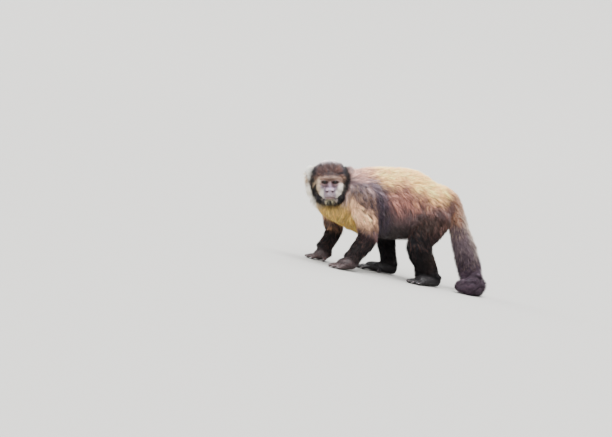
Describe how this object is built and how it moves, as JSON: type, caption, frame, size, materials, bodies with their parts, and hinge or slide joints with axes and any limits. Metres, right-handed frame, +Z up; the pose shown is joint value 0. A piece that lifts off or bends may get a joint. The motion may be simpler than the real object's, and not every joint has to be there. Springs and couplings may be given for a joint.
{
  "type": "standing capuchin monkey figure",
  "caption": "Life-size still capuchin monkey on all fours, head turned over its left side, long tail hanging behind and curling on the floor.",
  "frame": {"origin": "middle of the whole outline, seen from above, on the floor", "axes": "+Z up, the body faces -Y, its left side is +X, the head looks toward +X and a little toward -Y"},
  "size_m": [0.1818, 0.4818, 0.2477],
  "materials": {
    "crown_coat": "straight coarse hair",
    "face_skin": "bare skin with short pale hair",
    "ear_skin": "thin bare skin",
    "eye": "wet gloss",
    "back_coat": "long soft hair",
    "breast_coat": "long soft golden hair",
    "dark_coat": "dark brown hair",
    "nail": "dark horn"
  },
  "bodies": {
    "root": {"eye_left": "eye", "eye_right": "eye", "muzzle": "face_skin", "chin": "face_skin", "face": "face_skin", "head": "crown_coat", "ear_left": "ear_skin", "ear_right": "ear_skin", "neck": "back_coat", "chest": "back_coat", "belly": "back_coat", "rump": "back_coat", "tail_base": "dark_coat", "tail_middle": "dark_coat", "tail_low": "dark_coat", "tail_tip": "dark_coat", "upper_arm_left": "breast_coat", "forearm_left": "dark_coat", "hand_left": "dark_coat", "upper_arm_right": "breast_coat", "forearm_right": "dark_coat", "hand_right": "dark_coat", "thigh_left": "dark_coat", "shank_left": "dark_coat", "foot_left": "dark_coat", "thigh_right": "dark_coat", "shank_right": "dark_coat", "foot_right": "dark_coat"}
  },
  "joints": []
}
